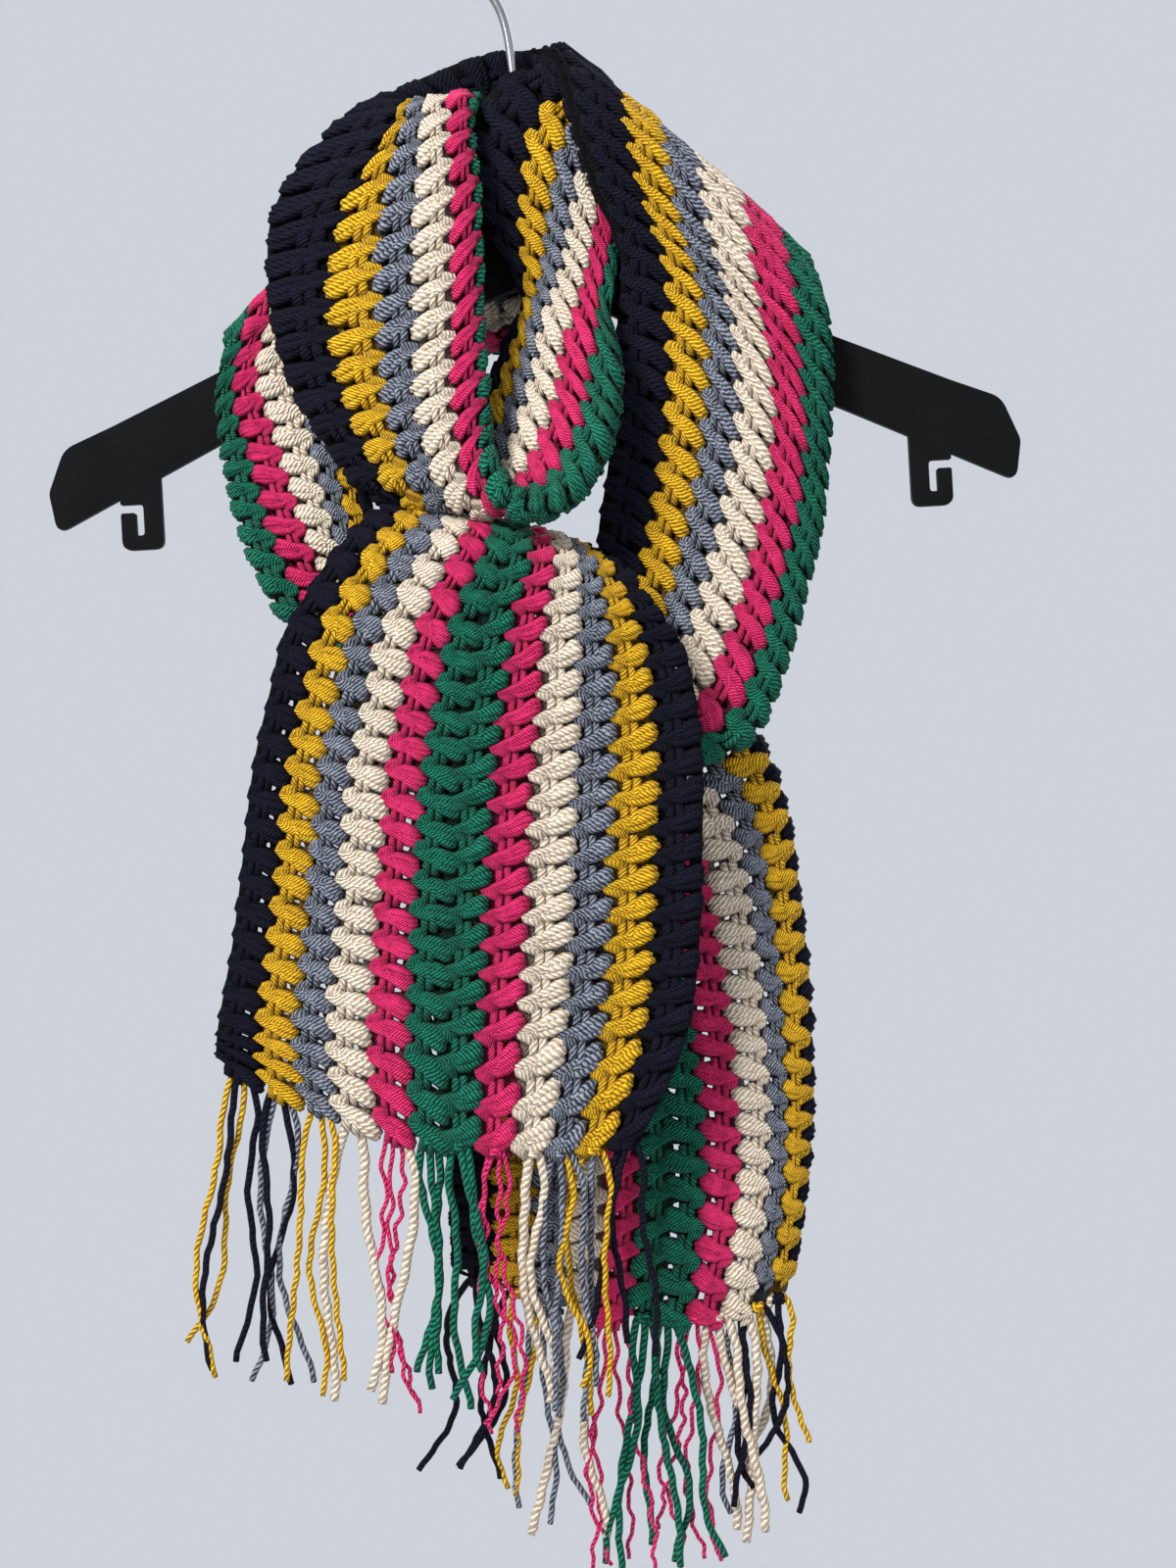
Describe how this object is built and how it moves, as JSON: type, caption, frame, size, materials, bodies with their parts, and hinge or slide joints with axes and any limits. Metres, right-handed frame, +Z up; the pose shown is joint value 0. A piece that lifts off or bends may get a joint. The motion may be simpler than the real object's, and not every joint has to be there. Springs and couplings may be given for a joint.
{
  "type": "crochet scarf wound round a clothes hanger",
  "caption": "Striped crochet scarf with yarn fringe, folded lengthwise, looped and tied like a cravat round a slim flocked hanger with a wire hook.",
  "frame": {"origin": "underside of the crown of the hanger's wire hook, where a rail carries it", "axes": "+Z up along the hang line, +X to the viewer's right seen from the front, the front faces -Y"},
  "size_m": [0.4473, 0.094, 0.7704],
  "materials": {
    "navy_yarn": "matte wool-like yarn",
    "gold_yarn": "slightly lustrous yarn",
    "grey_yarn": "heathered matte yarn",
    "cream_yarn": "matte plied yarn",
    "pink_yarn": "fine lustrous yarn",
    "green_yarn": "matte yarn",
    "flock": "short velvet flock on plastic",
    "wire": "drawn steel wire"
  },
  "bodies": {
    "root": {"left_wrap": "cream_yarn", "neck_back_inner": "grey_yarn", "neck_loop_right": "gold_yarn", "neck_loop_left": "pink_yarn", "neck_back_outer": "navy_yarn", "right_wrap": "gold_yarn", "knot_wrap": "green_yarn", "front_panel": "cream_yarn", "back_panel": "pink_yarn", "fringe_front": "green_yarn", "fringe_back": "navy_yarn", "hanger_body": "flock", "hanger_hook": "wire"}
  },
  "joints": []
}
